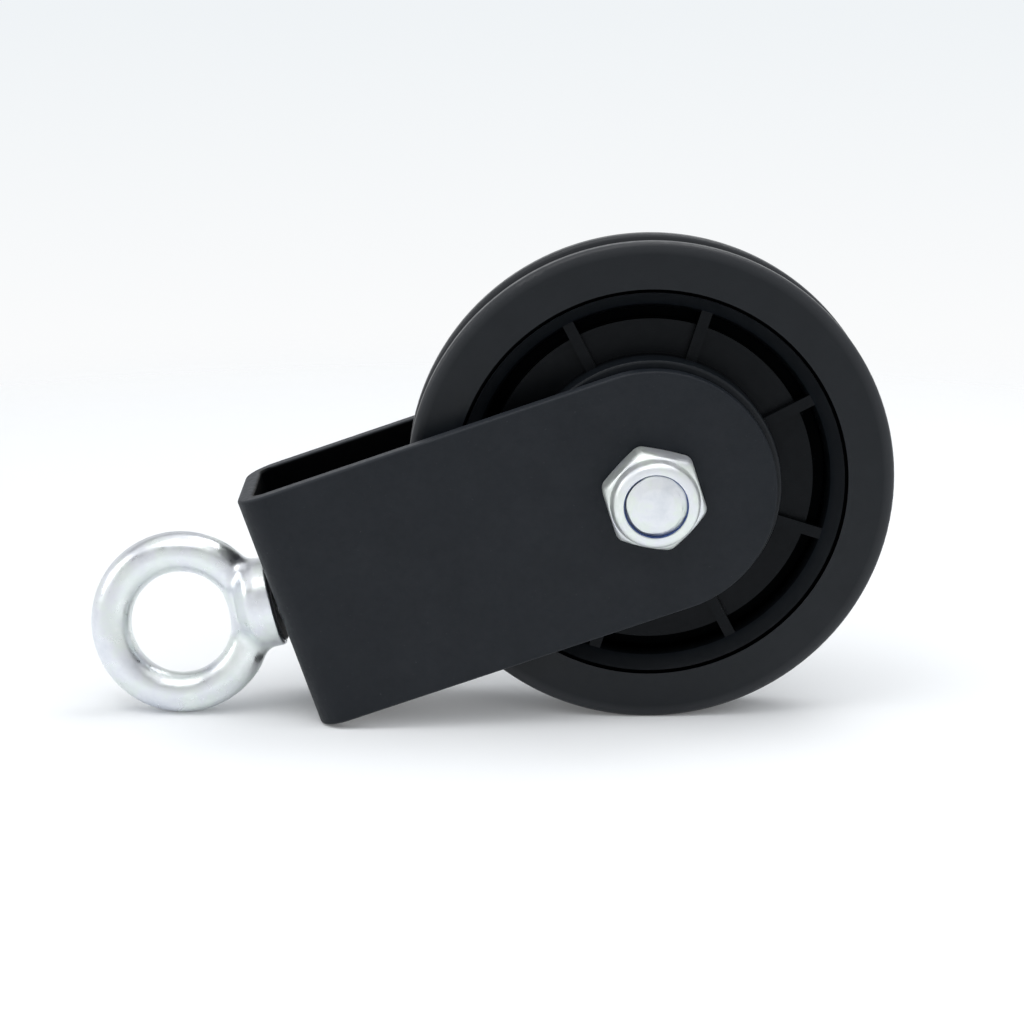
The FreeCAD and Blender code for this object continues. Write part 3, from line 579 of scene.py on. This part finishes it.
def make_mesh(name, points, faces):
    """Mesh whose faces all look outward."""
    mesh = bpy.data.meshes.new(name)
    mesh.from_pydata(points, [], faces)
    work = bmesh.new()
    work.from_mesh(mesh)
    bmesh.ops.recalc_face_normals(work, faces=work.faces)
    work.to_mesh(mesh)
    work.free()
    return mesh


def add_piece(name, skin, body, finish, place, node, sharp):
    """Zinc-plated piece that stands in for a node; its points are in mm, its edges sharp from an angle on."""
    points, faces = skin
    mesh = make_mesh(name, [place @ (Vector(point) * MM) for point in points], faces)
    mesh.polygons.foreach_set("use_smooth", [True] * len(mesh.polygons))
    mesh.set_sharp_from_angle(angle=math.radians(sharp))
    mesh.materials.append(FINISH[finish])
    piece = bpy.data.objects.new(name, mesh)
    bpy.context.scene.collection.objects.link(piece)
    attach(piece, body)
    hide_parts(node)


def axes(origin, along, across):
    """Placement whose local Z runs along one direction and whose local X lies across it."""
    along = Vector(along).normalized()
    across = Vector(across)
    across = (across - along * across.dot(along)).normalized()
    side = along.cross(across)
    turn = Matrix((across, side, along)).transposed().to_4x4()
    return Matrix.Translation(origin) @ turn


def rounded(corners, steps, closed=False):
    """Path whose corners (across, up, radius) are turned into arcs."""
    path = []
    count = len(corners)
    for index, (across, up, radius) in enumerate(corners):
        here = Vector((across, up))
        if radius <= 0 or (not closed and index in (0, count - 1)):
            path.append(tuple(here))
            continue
        before = Vector(corners[index - 1][:2]) - here
        after = Vector(corners[(index + 1) % count][:2]) - here
        before.normalize()
        after.normalize()
        half = before.angle(after) / 2
        start = here + before * (radius / math.tan(half))
        stop = here + after * (radius / math.tan(half))
        centre = here + (before + after).normalized() * (radius / math.sin(half))
        first = math.atan2(start.y - centre.y, start.x - centre.x)
        turn = math.atan2(stop.y - centre.y, stop.x - centre.x) - first
        turn = (turn + math.pi) % FULL_TURN - math.pi
        for step in range(steps + 1):
            angle = first + turn * step / steps
            path.append((centre.x + radius * math.cos(angle), centre.y + radius * math.sin(angle)))
    return path


def hexagon_stations(across_flats, corner_round):
    """Angles round a hexagon with eased corners, and its radius at each of them."""
    on_corner, on_flat = 6, 8
    corner = across_flats / math.sqrt(3)
    corners = []
    for index in range(6):
        angle = math.radians(60 * index)
        corners.append((corner * math.cos(angle), corner * math.sin(angle), corner_round))
    path = rounded(corners, steps=on_corner, closed=True)
    stations = []
    for index, point in enumerate(path):
        stations.append(point)
        if index % (on_corner + 1) == on_corner:
            following = path[(index + 1) % len(path)]
            for step in range(1, on_flat):
                share = step / on_flat
                stations.append((point[0] * (1 - share) + following[0] * share,
                                 point[1] * (1 - share) + following[1] * share))
    return [(math.atan2(y, x), math.hypot(x, y)) for x, y in stations]


def ring_loop(stations, radius, level):
    return [(radius * math.cos(angle), radius * math.sin(angle), level) for angle, _ in stations]


def hexagon_loop(stations, level_at):
    return [(reach * math.cos(angle), reach * math.sin(angle), level_at(reach)) for angle, reach in stations]


# Screw threads: depth over pitch, and where in half a pitch the flank starts and how wide it is
THREAD_DEPTH = 0.6134
FLANK_START, FLANK_WIDTH = 0.86, 0.62
LOOPS_PER_PITCH = 10


def thread_loops(stations, radius, pitch, start, stop, end_chamfer, end_length, run_out):
    """Loops of a screw thread from its run-out down to the chamfered end of the bolt."""
    loops = []
    rows = int(round(abs(stop - start) / (pitch / LOOPS_PER_PITCH)))
    for row in range(rows + 1):
        level = start + (stop - start) * row / rows
        share = min(1.0, abs(level - start) / run_out)
        share = share * share * (3 - 2 * share)
        depth = THREAD_DEPTH * pitch * share
        cone = radius - end_chamfer + abs(stop - level) * end_chamfer / end_length
        loop = []
        for angle, _ in stations:
            turn = (level / pitch - angle / FULL_TURN) % 1.0
            away = abs(2 * turn - 1)
            cut = min(1.0, max(0.0, (FLANK_START - away) / FLANK_WIDTH))
            reach = min(radius - depth * cut, cone)
            loop.append((reach * math.cos(angle), reach * math.sin(angle), level))
        loops.append(loop)
    return loops


# Axle bolt and its lock nut

HEX_ACROSS = 18.0
# Circle where the cone on top of a head or nut starts, and how steep that cone is
FLAT_CIRCLE = HEX_ACROSS / 2 * 0.965
SLOPE = math.tan(math.radians(40))
AXLE_RADIUS = 5.95
AXLE_PITCH = 1.75
# Outside of a plate from the wheel's middle plane, in metres
PLATE_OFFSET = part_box("axle_nut")[1].y - AXLE.y
HEX_SHARP = 32

HEAD_HEIGHT = 7.5
HEAD_EASE = 0.10
HEAD_FOOT, HEAD_FOOT_EASE = 0.55, 0.30
HEAD_TOP_LOOPS = (FLAT_CIRCLE - 1.5, FLAT_CIRCLE - 0.35)
HEAD_CORNER = 0.5
HEAD_TURN = 8
BOLT_LENGTH = 40.0
THREAD_LENGTH = 17
BOLT_RUN_OUT = 3.0
BOLT_END_CHAMFER, BOLT_END_LENGTH = 2.2, 0.95
BOLT_END_EASE = 0.08
BOLT_END_LOOPS = (AXLE_RADIUS - 2.4, 2.0)

NUT_HEXAGON, NUT_HEIGHT = 7.0, 10.2
NUT_CORNER = 1.9
NUT_TURN = 48
NUT_BORE_CHAMFER = 0.7
# Heights at which the chamfer of the nut's foot ends and its straight sides start
NUT_FOOT_EASE, NUT_FOOT = 0.12, 0.40
# How far below the top the sides start to ease into it, and the share of each corner that this takes off
NUT_EDGE_DROP = 0.17 * NUT_HEXAGON
NUT_EDGE_SHARE = 0.8
NUT_COLLAR, NUT_COLLAR_TAPER = 8.6, 0.55
NUT_COLLAR_ROUNDING, NUT_COLLAR_CORNER = 0.68, 0.2
NUT_LIP = 0.6
INSERT_WIDTH, INSERT_HEIGHT = 1.3, 2.2
# Hole in the collar's top, a little wider than the bolt
NUT_OPENING = AXLE_RADIUS + INSERT_WIDTH * 0.15


def hexagon_place(side, look, turn):
    """Place on a plate's outside, with the hexagon turned by some degrees."""
    turn = math.radians(turn)
    return axes(AXLE + Vector((0, side * PLATE_OFFSET, 0)), (0, look, 0), (math.cos(turn), 0, math.sin(turn)))


def make_axle_bolt():
    stations = hexagon_stations(HEX_ACROSS, HEAD_CORNER)
    edge = HEAD_HEIGHT - HEAD_EASE
    loops = [
        *(ring_loop(stations, radius, HEAD_HEIGHT) for radius in HEAD_TOP_LOOPS),
        ring_loop(stations, FLAT_CIRCLE, edge),
        hexagon_loop(stations, lambda reach: edge - max(0, reach - FLAT_CIRCLE) * SLOPE),
        hexagon_loop(stations, lambda reach: HEAD_FOOT),
        hexagon_loop(stations, lambda reach: HEAD_FOOT_EASE),
        ring_loop(stations, FLAT_CIRCLE, 0.0),
        ring_loop(stations, AXLE_RADIUS, 0.0),
        ring_loop(stations, AXLE_RADIUS, -1.0),
    ]
    loops += thread_loops(stations, AXLE_RADIUS, AXLE_PITCH, THREAD_LENGTH - BOLT_LENGTH,
                          BOLT_END_EASE - BOLT_LENGTH, BOLT_END_CHAMFER, BOLT_END_LENGTH, BOLT_RUN_OUT)
    loops += [ring_loop(stations, radius, -BOLT_LENGTH) for radius in BOLT_END_LOOPS]
    skin = loft(loops, start_cap=True, end_cap=True)
    add_piece("axle_bolt_threaded", skin, "bracket", "axle_zinc", hexagon_place(-1, 1, HEAD_TURN),
              "axle_bolt", HEX_SHARP)


def eased_edge(stations, steps=5):
    """Loops that turn the nut's sides softly into the cone on its top."""
    loops = []
    for step in range(steps + 1):
        share = step / steps
        loop = []
        for angle, reach in stations:
            over = max(0, reach - FLAT_CIRCLE)
            edge = NUT_HEXAGON - over * SLOPE
            level = (1 - share) ** 2 * (edge - NUT_EDGE_DROP) + 2 * share * (1 - share) * edge
            level += share ** 2 * (NUT_HEXAGON - (1 - NUT_EDGE_SHARE) * over * SLOPE)
            radius = reach - NUT_EDGE_SHARE * over * share ** 2
            loop.append((radius * math.cos(angle), radius * math.sin(angle), level))
        loops.append(loop)
    return loops


def make_axle_nut():
    """Lock nut with a domed collar and the seat of its nylon ring."""
    stations = hexagon_stations(HEX_ACROSS, NUT_CORNER)
    seat = AXLE_RADIUS + INSERT_WIDTH
    under_lip = NUT_HEIGHT - NUT_LIP
    floor = under_lip - INSERT_HEIGHT
    loops = [
        ring_loop(stations, AXLE_RADIUS, NUT_BORE_CHAMFER),
        ring_loop(stations, AXLE_RADIUS + NUT_BORE_CHAMFER, 0.0),
        ring_loop(stations, FLAT_CIRCLE, 0.0),
        hexagon_loop(stations, lambda reach: NUT_FOOT_EASE + max(0, reach - FLAT_CIRCLE) * SLOPE),
        hexagon_loop(stations, lambda reach: NUT_FOOT + max(0, reach - FLAT_CIRCLE) * SLOPE),
    ]
    loops += eased_edge(stations)
    loops.append(ring_loop(stations, FLAT_CIRCLE - 0.1, NUT_HEXAGON))
    collar_path = rounded([
        (FLAT_CIRCLE, NUT_HEXAGON, 0),
        (NUT_COLLAR, NUT_HEXAGON + 0.1, NUT_COLLAR_CORNER),
        (NUT_COLLAR - NUT_COLLAR_TAPER, NUT_HEIGHT, (NUT_COLLAR - NUT_OPENING) * NUT_COLLAR_ROUNDING),
        (NUT_OPENING, NUT_HEIGHT, NUT_COLLAR_CORNER),
        (NUT_OPENING, under_lip, 0),
        (seat, under_lip, 0),
        (seat, floor, 0),
        (AXLE_RADIUS, floor, 0),
    ], steps=8)
    loops += [ring_loop(stations, radius, level) for radius, level in collar_path]
    add_piece("axle_lock_nut", loft(loops, wrap=True), "bracket", "axle_zinc", hexagon_place(1, -1, NUT_TURN),
              "axle_nut", HEX_SHARP)


# Eye bolt

RING_RADIUS = 14.05
BAR_RADIUS = 3.975
COLLAR_RADIUS = 9.0
COLLAR_FACE = 18.8
COLLAR_SKIRT = 19.5
SKIRT_INSIDE = 8.15
SHANK_RADIUS = 4.0
SHANK_PITCH = 1.25
SHANK_RUN_OUT = 2.0
SHANK_END_CHAMFER = SHANK_END_LENGTH = 0.95
SHANK_END_EASE = 0.03
SHANK_TIP_RADIUS = SHANK_RADIUS - 1.1
# The shank is smooth from inside the collar on, and its thread starts right after that part
SHANK_FROM, SHANK_TO, THREAD_FROM = COLLAR_FACE - 1.0, COLLAR_FACE + 2.0, COLLAR_FACE + 3.0
EYE_SHARP = 40

FORGING_BLEND = 1.9
FORGING_VOXEL = 0.34
# Moves that draw the merged skin onto the blended surface: how many, how far at most, and the step that
# finds the surface's slope
FORGING_MOVES, FORGING_MOVE, FORGING_NUDGE = 6, 0.4, 1e-3
# Lowest values that keep a loop open and a division sound
LEAST_RADIUS, LEAST_STEEPNESS = 0.02, 0.05

# Seam: from and to these degrees round the ring, over how many it fades, and its profile's half widths
SEAM_FROM, SEAM_TO, SEAM_FADE = 38, 322, 8
SEAM_FOOT, SEAM_TOP = 0.35, 0.12
SEAM_SUNK, SEAM_HEIGHT = 0.10, 0.07
# Share of its height that the seam keeps at its ends, and the number of loops along it
SEAM_END_SHARE, SEAM_LOOPS = 0.05, 220


def eye_place():
    """Local X runs along the shank and local Y along the axis of the ring."""
    across = RING_AXIS.normalized()
    up = ALONG_EYE.cross(across)
    turn = Matrix((ALONG_EYE, across, up)).transposed().to_4x4()
    return Matrix.Translation(RING) @ turn


# Outline of the stem: along the shank, away from it, and the radius of each corner
STEM_PATH = np.array(rounded([
    (10.6, -0.01, 0), (10.6, 3.2, 0.8), (12.0, 6.2, 2.2), (14.6, 8.7, 2.4), (16.7, COLLAR_RADIUS, 1.2),
    (COLLAR_SKIRT, COLLAR_RADIUS, 0.4), (COLLAR_SKIRT, SKIRT_INSIDE, 0), (COLLAR_FACE, SKIRT_INSIDE, 0),
    (COLLAR_FACE, -0.01, 0)], steps=5))


def stem_distance(along, away):
    """Signed distance to the stem's outline: along the shank, and away from it."""
    best = np.full(along.shape, np.inf)
    inside = np.zeros(along.shape, bool)
    for (x0, y0), (x1, y1) in zip(STEM_PATH, np.roll(STEM_PATH, -1, axis=0)):
        dx, dy = x1 - x0, y1 - y0
        share = np.clip(((along - x0) * dx + (away - y0) * dy) / (dx * dx + dy * dy), 0, 1)
        gap = np.hypot(along - x0 - share * dx, away - y0 - share * dy)
        if not (y0 < 0 and y1 < 0):
            best = np.minimum(best, gap)
        if y0 != y1:
            inside ^= ((y0 > away) != (y1 > away)) & (along < dx * (away - y0) / dy + x0)
    return np.where(inside, -best, best)


def forging_distance(points):
    """Signed distance to the ring and stem, with the smooth hollow that forging leaves between them."""
    x, y, z = points.T
    ring = np.hypot(np.hypot(x, z) - RING_RADIUS, y) - BAR_RADIUS
    stem = stem_distance(x, np.hypot(y, z))
    share = np.clip(0.5 + 0.5 * (stem - ring) / FORGING_BLEND, 0, 1)
    return stem * (1 - share) + ring * share - FORGING_BLEND * share * (1 - share)


def forged_mesh():
    """Ring and stem as one skin: the two forms are merged, then drawn onto the blended surface."""
    turns, sides, stem_sides = 160, 48, 72
    torus = []
    for step in range(turns):
        angle = FULL_TURN * step / turns
        loop = []
        for side in range(sides):
            around = FULL_TURN * side / sides
            reach = RING_RADIUS + BAR_RADIUS * math.cos(around)
            loop.append((reach * math.cos(angle), BAR_RADIUS * math.sin(around), reach * math.sin(angle)))
        torus.append(loop)
    stem = []
    for along, away in STEM_PATH:
        radius = max(away, LEAST_RADIUS)
        stem.append([(along, radius * math.cos(a), radius * math.sin(a))
                     for a in np.linspace(0, FULL_TURN, stem_sides, endpoint=False)])
    points, faces = joined(loft(torus, wrap=True), loft(stem, start_cap=True, end_cap=True))
    rough = bpy.data.objects.new("forging_work", make_mesh("forging_work", points, faces))
    bpy.context.scene.collection.objects.link(rough)
    remesh = rough.modifiers.new("merge", "REMESH")
    remesh.mode = "VOXEL"
    remesh.voxel_size = FORGING_VOXEL
    merged = bpy.data.meshes.new_from_object(rough.evaluated_get(bpy.context.evaluated_depsgraph_get()))
    bpy.data.objects.remove(rough)
    coordinates = np.zeros(len(merged.vertices) * 3)
    merged.vertices.foreach_get("co", coordinates)
    coordinates = coordinates.reshape(-1, 3)
    for _ in range(FORGING_MOVES):
        value = np.clip(forging_distance(coordinates), -FORGING_MOVE, FORGING_MOVE)
        slope = np.stack([forging_distance(coordinates + step) - forging_distance(coordinates - step)
                          for step in np.eye(3) * FORGING_NUDGE], axis=1) / (2 * FORGING_NUDGE)
        steepness = np.maximum((slope ** 2).sum(1), LEAST_STEEPNESS)
        coordinates -= slope * (value / steepness)[:, None]
    return coordinates.tolist(), [tuple(face.vertices) for face in merged.polygons]


def parting_ridge():
    """Thin raised seam round the outside of the ring, where the two halves of the die met."""
    loops = []
    for degrees in np.linspace(SEAM_FROM, SEAM_TO, SEAM_LOOPS):
        angle = math.radians(degrees)
        from_end = min(degrees - SEAM_FROM, SEAM_TO - degrees)
        height = SEAM_HEIGHT * min(1.0, from_end / SEAM_FADE + SEAM_END_SHARE)
        profile = ((-SEAM_FOOT, -SEAM_SUNK), (-SEAM_TOP, height), (SEAM_TOP, height), (SEAM_FOOT, -SEAM_SUNK))
        loop = []
        for away, level in profile:
            reach = RING_RADIUS + math.sqrt(BAR_RADIUS ** 2 - away ** 2) + level
            loop.append((reach * math.cos(angle), away, reach * math.sin(angle)))
        loops.append(loop)
    return loft(loops, start_cap=True, end_cap=True)


def make_eye_bolt():
    tip = max((v.co - RING).dot(ALONG_EYE) for v in NODES["eye_bolt"].data.vertices) / MM
    stations = [(angle, 1.0) for angle in np.linspace(0, FULL_TURN, 64, endpoint=False)]
    shank = [ring_loop(stations, SHANK_RADIUS, SHANK_FROM), ring_loop(stations, SHANK_RADIUS, SHANK_TO)]
    shank += thread_loops(stations, SHANK_RADIUS, SHANK_PITCH, THREAD_FROM, tip - SHANK_END_EASE,
                          SHANK_END_CHAMFER, SHANK_END_LENGTH, SHANK_RUN_OUT)
    shank.append(ring_loop(stations, SHANK_TIP_RADIUS, tip))
    points, faces = loft(shank, start_cap=True, end_cap=True)
    threaded = [(level, across, up) for across, up, level in points], faces
    skin = joined(forged_mesh(), threaded, parting_ridge())
    add_piece("eye_bolt_forged", skin, "eye", "forging", eye_place(), "eye_bolt", EYE_SHARP)


make_axle_bolt()
make_axle_nut()
make_eye_bolt()
